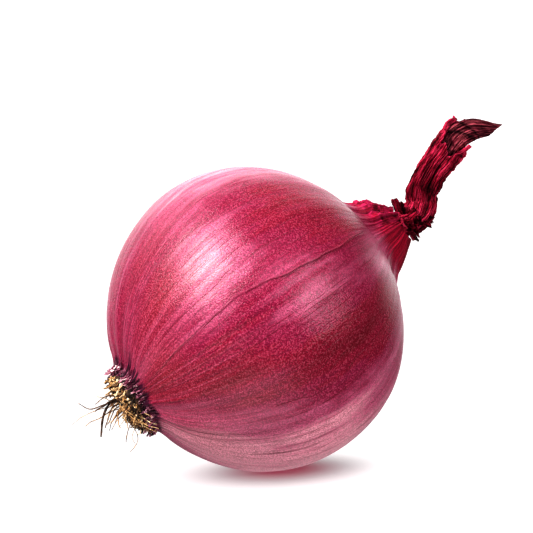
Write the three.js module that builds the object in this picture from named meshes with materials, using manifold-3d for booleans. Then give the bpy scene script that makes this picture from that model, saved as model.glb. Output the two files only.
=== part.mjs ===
// A red onion lying on its side, as picked and dried: the bulb in its outer skin, the dry neck
// sheath that is pinched and folded where it leaves the bulb, a dry leaf cut off above it, and
// the root plate with its dry roots.
//
// Millimetres, +Z up. The onion rests on a small flat spot whose centre is the origin.
// Its axis runs from the roots, low at -X, to the neck, high at +X.
// The bulb and the root plate are drawn about their own axis, local +Z from root to neck with
// the bulb's widest ring at local z = 0, in a group that tilts them into the lying pose.

import * as THREE from "three";
import { mergeVertices } from "three/addons/utils/BufferGeometryUtils.js";
import Module from "manifold-3d";

const wasm = await Module();
wasm.setup();

// The bulb
const BULB_RADIUS = 38;
const ROOT_HALF_LENGTH = 36; // of the ellipse from the widest ring toward the roots
const NECK_HALF_LENGTH = 35.3; // and toward the neck
const BODY_ROOT_Z = -33.4; // where the ellipse gives way to the crown
const BODY_NECK_Z = 32.6; // and to the collar
const AXIS_RISE_DEG = 28.8; // how steeply the axis climbs from roots to neck
const FLAT_DEPTH = 0.7; // how far the resting spot is pressed in
const SPOT_Y = 0; // the lying bulb is centred on y = 0
const BULB_SEGMENTS = 64;
const BULB_RINGS = 38;

// The root end of the bulb: a short crown with a dish that holds the root plate
const CROWN_RADIUS = 8.6;
const CROWN_Z = -36.7;
const CROWN_CURVE = [9.2, -34.9]; // control point between body and crown, as [radius, z]
const DISH_RADIUS = 7.8;
const DISH_Z = -35.2;

// The neck end of the bulb: a collar that narrows to the pinch, with a socket for the sheath
const COLLAR_BASE = [12.2, 34.4]; // control points and join, as [radius, z]
const COLLAR_JOIN = [9.9, 37.2];
const COLLAR_CURVE = [8.4, 40.4];
const COLLAR_HUMP = 0.8; // how much fuller its upper side is
const COLLAR_TOP_RADIUS = 5.1;
const COLLAR_TOP_Z = 44.0;

// Relief of the skin
const SKIN_RIBS = 16; // the leaf veins that stand out as ridges from end to end
const RIB_HEIGHT = 0.14; // at the widest ring
const COLLAR_PLEAT_HEIGHT = 0.6; // the same ridges where the skin gathers at the neck
const CROWN_PLEAT_HEIGHT = 0.35; // and where it gathers at the roots
const LOBE_HEIGHT = 0.2; // a grown bulb isn't quite round
const TOP_SLIM = 0.6; // and the lying bulb is a little slimmer above the roots
const LAP_HEIGHT = 0.4; // the edge where the outer skin laps over itself
const LAP_ANGLE = 4.22;
const LAP_FADE = 1.1; // radians over which the raised side sinks back

const GAP = 0.35; // between pieces that meet

// Torn tips of the old skins, in a ring round the root plate
const FRINGE_TIPS = 28;
const FRINGE_LENGTH = 1.3;
const FRINGE_WIDTH = 1.5;
const FRINGE_THICKNESS = 0.7;
const FRINGE_SUNK = 1.6; // how deep in the crown each tip starts
const FRINGE_SEED = 3;
const FRINGE_REACH = 3; // how far past the plate a root must go before it spreads over a tip

// The root plate and its roots
const PLATE_RADIUS = DISH_RADIUS - GAP;
const PLATE_FACE_Z = -37.9;
const ROOT_COUNT = 56;
const LONG_ROOTS = 9; // every third one from the middle out
const ROOT_RADIUS = 0.34;
const ROOT_SIDES = 4;
const ROOT_STEPS = 4;
const SHORT_ROOT_LENGTH = 2.8;
const LONG_ROOT_LENGTH = 6.6;
const ROOT_DROOP = 0.32; // share of a root's length that its tip sags
const ROOT_WEAR = 0.45; // share broken off those on the underside
const ROOT_SEED = 7;

// The dry neck, from the pinch up: offsets from the pinch in the lying pose, as [x, y, z]
const SHEATH_ROUTE = [
  [-2.2, 0, -1.6],
  [1.2, 0.1, 0.2],
  [5.2, 0.5, 1.6],
  [7.6, 0.9, 5],
  [7.9, 0.5, 8.9],
  [9.1, -0.5, 12.1],
  [11, -1.4, 15.4],
  [13.6, -2.4, 19.2],
];
const LEAF_ROUTE = [
  [12, -1.6, 15.8],
  [13.8, -2.2, 19.4],
  [16, -2.9, 22.4],
  [19.4, -3.4, 23.9],
  [23.4, -3, 24],
  [29.2, -1.6, 23.4],
];
const NECK_FACING = new THREE.Vector3(-0.39, -0.91, 0.12); // the way the flat of the neck looks
const SHEATH_HALF_WIDTH = 3.8;
const SHEATH_HALF_THICKNESS = 2.5;
const SHEATH_PLEATS = 9;
const SHEATH_PLEAT_DEPTH = 0.13; // share of the half width
const SHEATH_TWIST = 1.3; // radians, from pinch to rim
const SHEATH_WALL = 0.95;
const MOUTH_DEPTH = 0.24; // share of the sheath's length that is hollow at its torn end
const TEAR_RISE = 0.26; // how much further the back of the torn end reaches, as a share
const TEAR_SIDE = 2.2; // radians round the section to where it reaches furthest
const SHEATH_SEGMENTS = 32;
const SHEATH_RINGS = 22;
const MOUTH_RINGS = 5;
const LEAF_HALF_WIDTH = 3.1;
const LEAF_HALF_THICKNESS = 0.75;
const LEAF_CUT_SLANT = 0.22; // share of its length that the cut takes off the lower edge
const LEAF_SEGMENTS = 20;
const LEAF_RINGS = 16;

// Torn scraps of skin that stand out round the pinch. Each starts at a share of the sheath's
// route and leaves it at an angle, 0 below, PI / 2 behind, PI above and 3 PI / 2 in front.
const SCRAPS = [
  { at: 0.17, angle: 3.2, length: 5.6, width: 2.8, curl: -0.1 },
  { at: 0.17, angle: 2.1, length: 3.8, width: 2.6, curl: 0.2 },
  { at: 0.2, angle: 1.1, length: 4.2, width: 2.8, curl: 0.3 },
  { at: 0.24, angle: 0.35, length: 4.6, width: 2.2, curl: 0.15 },
  { at: 0.3, angle: 5.95, length: 4.1, width: 2.4, curl: 0.1 },
  { at: 0.22, angle: 5.5, length: 4.2, width: 2.2, curl: -0.05 },
  { at: 0.16, angle: 5.0, length: 3.9, width: 2.3, curl: 0.1 },
  { at: 0.2, angle: 4.3, length: 3.3, width: 2.6, curl: 0.4 },
];
const SCRAP_SUNK = 1.2; // how far from the route's middle each starts
const SCRAP_THICKNESS = 0.8;

const TURN = 2 * Math.PI;

function seeded(seed) {
  let state = seed;
  return () => {
    state = (state * 1664525 + 1013904223) % 4294967296;
    return state / 4294967296;
  };
}

function smooth(from, to, value) {
  return THREE.MathUtils.smoothstep(value, from, to);
}

// A closed geometry through rings of points, each ring with the same number, capped with fans.
function skinned(rings) {
  const around = rings[0].length;
  const centre = (ring) =>
    ring.reduce((sum, p) => sum.add(p), new THREE.Vector3()).divideScalar(around);
  const points = [...rings.flat(), centre(rings[0]), centre(rings.at(-1))];
  const index = [];
  for (let i = 0; i < rings.length - 1; i++) {
    for (let j = 0; j < around; j++) {
      const k = (j + 1) % around;
      const [a, b] = [i * around + j, i * around + k];
      index.push(a, b, b + around, a, b + around, a + around);
    }
  }
  const [first, last] = [points.length - 2, points.length - 1];
  const top = (rings.length - 1) * around;
  for (let j = 0; j < around; j++) {
    const k = (j + 1) % around;
    index.push(first, k, j, last, top + j, top + k);
  }
  const geometry = new THREE.BufferGeometry().setFromPoints(points);
  geometry.setIndex(index);
  return geometry;
}

function solidOf(geometry) {
  const bare = new THREE.BufferGeometry();
  bare.setAttribute("position", geometry.getAttribute("position"));
  bare.setIndex(geometry.index);
  const merged = mergeVertices(bare, 1e-4);
  return new wasm.Manifold(
    new wasm.Mesh({
      numProp: 3,
      vertProperties: new Float32Array(merged.attributes.position.array),
      triVerts: new Uint32Array(merged.index.array),
    }),
  );
}

function geometryOf(solid) {
  const mesh = solid.getMesh();
  const geometry = new THREE.BufferGeometry();
  geometry.setAttribute("position", new THREE.BufferAttribute(mesh.vertProperties, 3));
  geometry.setIndex(new THREE.BufferAttribute(mesh.triVerts, 1));
  return geometry;
}

function meshOf(name, geometry, color, roughness) {
  geometry.computeVertexNormals();
  const material = new THREE.MeshStandardMaterial({ color, roughness, metalness: 0 });
  const mesh = new THREE.Mesh(geometry, material);
  mesh.name = name;
  return mesh;
}

// Where the lying bulb stands over its resting spot
const rise = THREE.MathUtils.degToRad(AXIS_RISE_DEG);
const centreHeight =
  Math.hypot(BULB_RADIUS * Math.cos(rise), ROOT_HALF_LENGTH * Math.sin(rise)) - FLAT_DEPTH;
const spotOffset =
  ((BULB_RADIUS ** 2 - ROOT_HALF_LENGTH ** 2) * Math.sin(rise) * Math.cos(rise)) /
  (centreHeight + FLAT_DEPTH);
const lying = new THREE.Group();
lying.rotation.y = Math.PI / 2 - rise;
lying.position.set(-spotOffset, SPOT_Y, centreHeight);
lying.updateMatrixWorld(true);
const down = new THREE.Vector3(0, 0, -1).transformDirection(
  lying.matrixWorld.clone().invert(),
);

// The bulb's outline in its own frame, radius as x and height along the axis as y: the crown
// at the roots, the round body as two half ellipses, and the collar up to the pinch.
function bulbOutline() {
  const bodyStart = Math.asin(BODY_ROOT_Z / ROOT_HALF_LENGTH);
  const bodyEnd = Math.asin(BODY_NECK_Z / NECK_HALF_LENGTH);
  const path = new THREE.Path();
  path.moveTo(CROWN_RADIUS, CROWN_Z);
  path.quadraticCurveTo(...CROWN_CURVE, BULB_RADIUS * Math.cos(bodyStart), BODY_ROOT_Z);
  path.absellipse(0, 0, BULB_RADIUS, ROOT_HALF_LENGTH, bodyStart, 0, false);
  path.absellipse(0, 0, BULB_RADIUS, NECK_HALF_LENGTH, 0, bodyEnd, false);
  path.quadraticCurveTo(...COLLAR_BASE, ...COLLAR_JOIN);
  path.quadraticCurveTo(...COLLAR_CURVE, COLLAR_TOP_RADIUS, COLLAR_TOP_Z);
  return path.getSpacedPoints(BULB_RINGS - 1);
}

// How far the skin stands out from the outline at an angle round the axis and a height along it.
function skinRelief(angle, z) {
  const towardNeck = smooth(26, 41, z);
  const towardRoots = 1 - smooth(-36.5, -28, z);
  const ribHeight =
    RIB_HEIGHT + COLLAR_PLEAT_HEIGHT * towardNeck + CROWN_PLEAT_HEIGHT * towardRoots;
  const rib = Math.cos(SKIN_RIBS * angle + 0.7 * Math.sin(2 * angle + z / 30));
  const uneven = 0.75 + 0.25 * Math.cos(5 * angle + 1.3);
  const body = 1 - Math.max(towardNeck, towardRoots);
  const lobe = Math.cos(2 * angle + 0.8) * 0.6 + Math.cos(3 * angle + 2.1) * 0.4;
  const beforeLap = (LAP_ANGLE + 0.04 * Math.sin(z / 9) - angle + TURN) % TURN;
  const lap = Math.max(0, 1 - beforeLap / LAP_FADE) ** 2;
  const above = 0.5 - 0.5 * Math.cos(angle);
  const slim = above * Math.sin(Math.PI * THREE.MathUtils.clamp(-z / ROOT_HALF_LENGTH, 0, 1));
  const swell = LOBE_HEIGHT * lobe + LAP_HEIGHT * lap - TOP_SLIM * slim;
  const hump = COLLAR_HUMP * above ** 2 * smooth(34.5, 39, z) * (1 - smooth(40, 44, z));
  return ribHeight * rib * uneven + body * swell + hump;
}

// One torn tip of skin: a thin wedge that leans out from the crown.
function fringeTip(angle, random) {
  const length = FRINGE_LENGTH * (0.65 + 0.6 * random());
  const halfWidth = (FRINGE_WIDTH / 2) * (0.8 + 0.5 * random());
  const lean = 0.3 + 1.3 * random();
  const out = new THREE.Vector3(Math.cos(angle), Math.sin(angle), 0);
  const side = new THREE.Vector3(-Math.sin(angle), Math.cos(angle), 0);
  const rings = [0, 0.55, 1].map((along) => {
    const taper = 1 - 0.72 * along ** 1.5;
    const middle = out
      .clone()
      .multiplyScalar(CROWN_RADIUS - 0.45 + lean * length * along ** 2 * 0.6)
      .add(new THREE.Vector3(0, 0, CROWN_Z + FRINGE_SUNK - (length + FRINGE_SUNK) * along));
    return [-1, 1, 1, -1].map((u, corner) =>
      middle
        .clone()
        .addScaledVector(side, u * halfWidth * taper)
        .addScaledVector(out, ((corner < 2 ? -1 : 1) * FRINGE_THICKNESS * taper) / 2),
    );
  });
  return skinned(rings);
}

function ringAt(radius, z, segments) {
  return Array.from({ length: segments }, (_, j) => {
    const angle = (j / segments) * TURN;
    return new THREE.Vector3(radius * Math.cos(angle), radius * Math.sin(angle), z);
  });
}

function makeBulb(socketFor) {
  const rings = bulbOutline().map((p) =>
    Array.from({ length: BULB_SEGMENTS }, (_, j) => {
      const angle = (j / BULB_SEGMENTS) * TURN;
      const radius = p.x + skinRelief(angle, p.y);
      return new THREE.Vector3(radius * Math.cos(angle), radius * Math.sin(angle), p.y);
    }),
  );
  const random = seeded(FRINGE_SEED);
  const tips = Array.from({ length: FRINGE_TIPS }, (_, i) =>
    solidOf(fringeTip(((i + 0.5 * random()) / FRINGE_TIPS) * TURN, random)),
  );
  const dish = skinned([
    ringAt(DISH_RADIUS, CROWN_Z - FRINGE_LENGTH * 2, 36),
    ringAt(DISH_RADIUS, DISH_Z, 36),
  ]);
  const floor = new THREE.BoxGeometry(120, 120, 40);
  floor.translate(0, 0, -20);
  floor.applyMatrix4(lying.matrixWorld.clone().invert());
  const whole = wasm.Manifold.union([solidOf(skinned(rings)), ...tips]);
  return geometryOf(
    whole.subtract(solidOf(dish)).subtract(socketFor).subtract(solidOf(floor)),
  );
}

// One dry root: a thin tube from inside the plate that leaves it and droops.
function rootTube(start, heading, length, droop, random) {
  const bend = new THREE.Vector3(random() - 0.5, random() - 0.5, random() - 0.5);
  const rings = [];
  for (let i = 0; i <= ROOT_STEPS; i++) {
    const along = i / ROOT_STEPS;
    const at = start
      .clone()
      .addScaledVector(heading, length * along)
      .addScaledVector(down, length * droop * along ** 2)
      .addScaledVector(bend, 0.3 * length * Math.sin(Math.PI * along) * along);
    const tangent = heading.clone().addScaledVector(down, 2 * droop * along).normalize();
    const side = new THREE.Vector3(0.3, 1, 0.2).cross(tangent).normalize();
    const other = tangent.clone().cross(side);
    const radius = ROOT_RADIUS * (1 - 0.15 * along);
    rings.push(
      Array.from({ length: ROOT_SIDES }, (_, j) => {
        const angle = (j / ROOT_SIDES) * TURN;
        return at
          .clone()
          .addScaledVector(side, radius * Math.cos(angle))
          .addScaledVector(other, radius * Math.sin(angle));
      }),
    );
  }
  return skinned(rings);
}

function makeRootPlate() {
  const segments = 36;
  const plate = skinned([
    ringAt(PLATE_RADIUS * 0.72, PLATE_FACE_Z - 0.9, segments),
    ringAt(PLATE_RADIUS * 0.93, PLATE_FACE_Z - 0.3, segments),
    ringAt(PLATE_RADIUS, PLATE_FACE_Z + 0.4, segments),
    ringAt(PLATE_RADIUS, DISH_Z - GAP, segments),
  ]);
  const random = seeded(ROOT_SEED);
  const goldenAngle = Math.PI * (3 - Math.sqrt(5));
  const roots = Array.from({ length: ROOT_COUNT }, (_, i) => {
    const radius = (PLATE_RADIUS - 1.2) * Math.sqrt((i + 0.6) / ROOT_COUNT);
    const angle = i * goldenAngle;
    const out = new THREE.Vector3(Math.cos(angle), Math.sin(angle), 0);
    const start = out.clone().multiplyScalar(radius).setZ(PLATE_FACE_Z + 0.4);
    const long = i % 3 === 0 && i < 3 * LONG_ROOTS;
    const clear = (PLATE_RADIUS - 2 * ROOT_RADIUS - radius) / FRINGE_REACH;
    const spread = Math.min(long ? 0.5 : 0.9, clear);
    const heading = out.multiplyScalar(spread).setZ(-1).normalize();
    const worn = 1 - ROOT_WEAR * Math.max(0, Math.cos(angle));
    const length = (long ? LONG_ROOT_LENGTH : SHORT_ROOT_LENGTH) * (0.6 + 0.8 * random()) * worn;
    const droop = long ? ROOT_DROOP * (0.4 + random()) : 0.2;
    return solidOf(rootTube(start, heading, length, droop, random));
  });
  return geometryOf(wasm.Manifold.union([solidOf(plate), ...roots]));
}

// A frame that travels along a route: the point, the way across the flat, and the way through.
function routeFrame(curve, at) {
  const t = THREE.MathUtils.clamp(at, 0, 1);
  const tangent = curve.getTangentAt(t);
  const point = curve.getPointAt(t).addScaledVector(tangent, (at - t) * curve.getLength());
  const across = tangent.clone().cross(NECK_FACING).normalize();
  return { point, tangent, across, through: tangent.clone().cross(across) };
}

// The pleated sheath, or with inset above 0 the hollow inside it, between two shares of the route.
// The torn end reaches further at the back than at the front.
function sheathGeometry(curve, { inset, from, to, torn, steps }) {
  const rings = [];
  for (let i = 0; i <= steps; i++) {
    const ring = [];
    for (let j = 0; j < SHEATH_SEGMENTS; j++) {
      const angle = (j / SHEATH_SEGMENTS) * TURN;
      const reach = 0.5 + 0.5 * Math.cos(angle - TEAR_SIDE);
      const notch = 0.018 * Math.cos(7 * angle) + 0.014 * Math.cos(13 * angle + 1);
      const end = to + torn * (TEAR_RISE * reach ** 1.6 + notch);
      const t = from + ((end - from) * i) / steps;
      const { point, across, through } = routeFrame(curve, t);
      const flare = 0.78 + 0.24 * smooth(0.1, 0.45, t) + 0.12 * smooth(0.7, 1, t);
      const pleat =
        1 +
        SHEATH_PLEAT_DEPTH *
          Math.cos(SHEATH_PLEATS * angle + SHEATH_TWIST * SHEATH_PLEATS * 0.3 * t) *
          (0.7 + 0.3 * Math.cos(2 * angle + 4 * t));
      const width = SHEATH_HALF_WIDTH * flare * pleat - inset;
      const depth = SHEATH_HALF_THICKNESS * (0.9 + 0.15 * flare) * pleat - inset;
      ring.push(
        point
          .clone()
          .addScaledVector(across, width * Math.cos(angle))
          .addScaledVector(through, depth * Math.sin(angle)),
      );
    }
    rings.push(ring);
  }
  return skinned(rings);
}

// A scrap of torn skin at the pinch: a bent blade with a ragged end.
function scrapGeometry(base, out, up, { length, width, curl }) {
  const side = out.clone().cross(up).normalize();
  const rings = [0, 0.35, 0.7, 1].map((along) => {
    const middle = base
      .clone()
      .addScaledVector(out, length * along)
      .addScaledVector(up, curl * length * along ** 2);
    const normal = up.clone().addScaledVector(out, -2 * curl * along).normalize();
    const half = (width / 2) * (0.75 + 0.5 * Math.sin(Math.PI * along * 0.8));
    const skew = along === 1 ? 0.5 : 0;
    return [-1, 0, 1, 1, 0, -1].map((u, corner) =>
      middle
        .clone()
        .addScaledVector(side, u * half)
        .addScaledVector(out, u === 0 ? -skew * 1.4 : skew * u)
        .addScaledVector(normal, ((corner < 3 ? 1 : -1) * SCRAP_THICKNESS) / 2),
    );
  });
  return skinned(rings);
}

function makeSheath(curve) {
  const outer = solidOf(
    sheathGeometry(curve, { inset: 0, from: 0, to: 1, torn: 1, steps: SHEATH_RINGS }),
  );
  const mouth = solidOf(
    sheathGeometry(curve, {
      inset: SHEATH_WALL,
      from: 1 - MOUTH_DEPTH,
      to: 1.02 + TEAR_RISE,
      torn: 0,
      steps: MOUTH_RINGS,
    }),
  );
  const scraps = SCRAPS.map((scrap) => {
    const { point, tangent, across, through } = routeFrame(curve, scrap.at);
    const out = across
      .clone()
      .multiplyScalar(Math.cos(scrap.angle))
      .addScaledVector(through, Math.sin(scrap.angle));
    const base = point.clone().addScaledVector(out, SCRAP_SUNK);
    return solidOf(scrapGeometry(base, out, tangent, scrap));
  });
  return wasm.Manifold.union([outer.subtract(mouth), ...scraps]);
}

// The dry leaf: a thin ribbed blade that leaves the sheath, bends over and ends in a slanting cut.
function makeLeaf(curve) {
  const rings = [];
  for (let i = 0; i <= LEAF_RINGS; i++) {
    const share = i / LEAF_RINGS;
    const ring = [];
    for (let j = 0; j < LEAF_SEGMENTS; j++) {
      const angle = (j / LEAF_SEGMENTS) * TURN;
      const edge = Math.cos(angle);
      const t = share * (1 - LEAF_CUT_SLANT * (0.5 + 0.5 * edge));
      const { point, across, through } = routeFrame(curve, t);
      const widen = 0.7 + 0.3 * smooth(0.1, 0.35, t) - 0.52 * smooth(0.4, 0.95, t);
      const ridge = 0.22 * Math.cos(4 * Math.PI * edge + 3 * t);
      ring.push(
        point
          .clone()
          .addScaledVector(across, LEAF_HALF_WIDTH * widen * edge)
          .addScaledVector(through, LEAF_HALF_THICKNESS * Math.sin(angle) + ridge * widen),
      );
    }
    rings.push(ring);
  }
  return skinned(rings);
}

const pinch = new THREE.Vector3(0, 0, COLLAR_TOP_Z).applyMatrix4(lying.matrixWorld);
const fromPinch = (route) =>
  new THREE.CatmullRomCurve3(route.map((p) => new THREE.Vector3(...p).add(pinch)));
const sheathCurve = fromPinch(SHEATH_ROUTE);

// The socket in the collar is the sheath's own lower end, made larger by the gap.
const socket = solidOf(
  sheathGeometry(sheathCurve, {
    inset: -GAP,
    from: -GAP / sheathCurve.getLength(),
    to: 0.3,
    torn: 0,
    steps: MOUTH_RINGS,
  }),
);
const socketInBulb = socket.transform(lying.matrixWorld.clone().invert().toArray());

const onion = new THREE.Group();
onion.add(lying);
lying.add(meshOf("bulb", makeBulb(socketInBulb), 0xa3183f, 0.35));
lying.add(meshOf("root_plate", makeRootPlate(), 0xa9824f, 0.85));
onion.add(meshOf("neck_sheath", geometryOf(makeSheath(sheathCurve)), 0x6e1230, 0.7));
onion.add(meshOf("dry_leaf", makeLeaf(fromPinch(LEAF_ROUTE)), 0x4a1420, 0.75));

export default onion;
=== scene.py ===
import math

import bmesh
import bpy
import numpy as np
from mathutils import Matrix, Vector


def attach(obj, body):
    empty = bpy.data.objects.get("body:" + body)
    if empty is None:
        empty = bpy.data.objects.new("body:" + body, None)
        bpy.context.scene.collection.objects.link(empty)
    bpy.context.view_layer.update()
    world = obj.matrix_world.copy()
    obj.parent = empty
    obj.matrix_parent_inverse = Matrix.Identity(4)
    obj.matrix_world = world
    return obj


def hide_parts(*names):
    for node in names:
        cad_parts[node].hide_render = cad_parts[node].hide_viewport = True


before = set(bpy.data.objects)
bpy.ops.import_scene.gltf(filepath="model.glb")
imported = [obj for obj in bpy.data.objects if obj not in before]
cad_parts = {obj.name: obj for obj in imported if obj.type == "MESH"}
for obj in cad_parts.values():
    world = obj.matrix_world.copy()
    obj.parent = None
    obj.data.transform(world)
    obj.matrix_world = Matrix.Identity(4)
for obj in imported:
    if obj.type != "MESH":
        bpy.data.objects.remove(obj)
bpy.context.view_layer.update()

# Shapes are worked out in millimetres in the part's own frame and made in metres.
MM = 0.001
TURN = 2 * math.pi

# The bulb and its lying pose, as in the part
BULB_RADIUS = 38.0
ROOT_HALF_LENGTH = 36.0
NECK_HALF_LENGTH = 35.3
BODY_ROOT_Z = -33.4
BODY_NECK_Z = 32.6
AXIS_RISE = math.radians(28.8)
FLAT_DEPTH = 0.7
CROWN_RADIUS = 8.6
CROWN_Z = -36.7
CROWN_CURVE = (9.2, -34.9)
DISH_RADIUS = 7.8
DISH_Z = -35.2
COLLAR_BASE = (12.2, 34.4)
COLLAR_JOIN = (9.9, 37.2)
COLLAR_CURVE = (8.4, 40.4)
COLLAR_HUMP = 0.8
COLLAR_TOP_RADIUS = 5.1
COLLAR_TOP_Z = 44.0
SKIN_RIBS = 16
LAP_ANGLE = 4.22
LAP_HEIGHT = 0.4
LAP_FADE = 1.1
GAP = 0.35

# The root plate and the roots that the part has
PLATE_RADIUS = DISH_RADIUS - GAP
PLATE_FACE_Z = -37.9
ROOT_COUNT = 56
LONG_ROOTS = 9
ROOT_RADIUS = 0.34
SHORT_ROOT_LENGTH = 2.8
LONG_ROOT_LENGTH = 6.6
ROOT_DROOP = 0.32
ROOT_WEAR = 0.45
ROOT_SEED = 7
FRINGE_REACH = 3.0

# The neck, as offsets from the pinch
SHEATH_ROUTE = np.array([
    (-2.2, 0, -1.6), (1.2, 0.1, 0.2), (5.2, 0.5, 1.6), (7.6, 0.9, 5),
    (7.9, 0.5, 8.9), (9.1, -0.5, 12.1), (11, -1.4, 15.4), (13.6, -2.4, 19.2),
])
LEAF_ROUTE = np.array([
    (12, -1.6, 15.8), (13.8, -2.2, 19.4), (16, -2.9, 22.4),
    (19.4, -3.4, 23.9), (23.4, -3, 24), (29.2, -1.6, 23.4),
])
NECK_FACING = np.array((-0.39, -0.91, 0.12))
SHEATH_HALF_WIDTH = 3.8
SHEATH_HALF_THICKNESS = 2.5
SHEATH_PLEATS = 9
SHEATH_PLEAT_DEPTH = 0.13
SHEATH_TWIST = 1.3
MOUTH_DEPTH = 0.24
TEAR_RISE = 0.26
TEAR_SIDE = 2.2
LEAF_HALF_WIDTH = 3.1
LEAF_CUT_SLANT = 0.22
# Torn scraps round the pinch: share of the neck, angle round it, length, width, curl and tone
SCRAPS = [
    (0.17, 3.2, 5.6, 2.8, -0.1, 0.12), (0.17, 2.1, 3.8, 2.6, 0.2, 0.3), (0.2, 1.1, 4.2, 2.8, 0.3, 0.4),
    (0.24, 0.35, 4.6, 2.2, 0.15, 0.25), (0.3, 5.95, 4.1, 2.4, 0.1, 0.2), (0.22, 5.5, 4.2, 2.2, -0.05, 0.3),
    (0.16, 5.0, 3.9, 2.3, 0.1, 0.35), (0.2, 4.3, 3.3, 2.6, 0.4, 0.5), (0.15, 4.7, 3.4, 2.4, -0.6, 0.85),
]
SMALL_SCRAPS = 4  # beside each of them
SCRAP_SUNK = 1.2
SCRAP_THICKNESS = 0.2
# Curled bits at the mouth, in the same way, and how deep each is sunk
CURLED_BITS = [
    (1.02, 6.0, 1.7, 3.0, 1.9, 0.85, 2.4), (1.0, 5.9, 1.8, 1.8, 1.5, 0.7, 2.3),
    (1.1, 2.9, 1.9, 2.2, 1.2, 0.7, 2.3), (1.12, 2.4, 1.7, 1.6, 1.5, 0.6, 2.1),
]

# Where the skin is darker (+) or paler (-): amount, degrees round from below, height along the
# bulb's axis, and how far it spreads both ways. The pale ones under the key and fill highlights
# (213 to 252 degrees), on the shoulder (250 and 271), on the top rim (184) and underneath
# (302 and 322) are painted highlight, painted reflection and painted bounce from the floor;
# the others are the skin's own darker and paler bands
MIDDLE_SHADE = 0.52
TONE_AND_PAINTED_LIGHT_PATCHES = [
    (0.34, 284, 12, 15, 20), (0.2, 274, -4, 11, 13), (0.36, 266, -22, 10, 11),
    (0.26, 236, 21, 15, 11), (0.3, 217, 15, 11, 10), (0.16, 208, -12, 5, 14),
    (-0.44, 220, -11, 14, 9), (-0.2, 213, -12, 9, 8), (0.1, 245, -8, 5, 9), (-0.2, 252, 4, 10, 10),
    (0.14, 256, -20, 9, 9),
    (-0.6, 322, -12, 26, 30), (-0.25, 302, -4, 9, 22), (-0.34, 184, 5, 14, 22),
    (-0.08, 241, -20, 6, 7), (-0.42, 271, 30, 9, 5), (-0.3, 250, 31, 10, 5),
    (-0.16, 203, -29, 10, 8), (-0.1, 230, -33, 20, 5), (0.15, 255, -34, 14, 6), (-0.3, 290, -30, 22, 7),
    (0.25, 90, 4, 24, 26), (-0.25, 50, -6, 18, 22), (0.2, 140, 10, 16, 24), (-0.15, 115, -10, 10, 18),
    (0.2, 10, 14, 14, 16),
]
WARM_PATCHES = [
    (0.55, 214, -22, 12, 9), (0.5, 238, -30, 14, 5), (0.35, 190, -18, 8, 12), (0.3, 100, -25, 30, 9),
    (0.25, 255, -32, 10, 5), (0.25, 30, -28, 25, 6), (0.3, 288, -31, 26, 7),
]
# Small ridges that run lengthwise and one broad swell, in the same way, with their height in mm
RIDGES = [
    (0.16, 245.5, -10, 1.6, 14), (0.12, 249.5, -13, 1.3, 12), (-0.14, 247.4, -12, 1.1, 13),
    (0.1, 226, 6, 2.2, 14), (-0.1, 207, -8, 2, 16), (0.1, 259, 2, 1.8, 16), (0.08, 268, 6, 1.6, 14),
    (0.12, 196, 2, 2, 18), (-0.1, 190, 4, 1.6, 18), (0.1, 292, -4, 2, 18), (0.1, 304, -8, 2.2, 18),
    (0.55, 331, 18, 20, 11), (0.12, 92, 0, 2.2, 20), (-0.1, 70, -4, 2, 16), (0.1, 120, 6, 2, 18),
    (0.1, 150, -6, 2.2, 18),
]
# The skin's tones from pale to dark: the depth where each starts and is reached, and its colour
PALE_SKIN = (0.52, 0.22, 0.27)
SKIN_TONES = [
    (0.0, 0.3, (0.31, 0.055, 0.115)), (0.3, 0.55, (0.19, 0.006, 0.038)),
    (0.55, 0.8, (0.18, 0.0015, 0.020)), (0.8, 1.05, (0.125, 0.0008, 0.010)),
]
LINE_TONE = (0.10, 0.002, 0.012)

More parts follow.
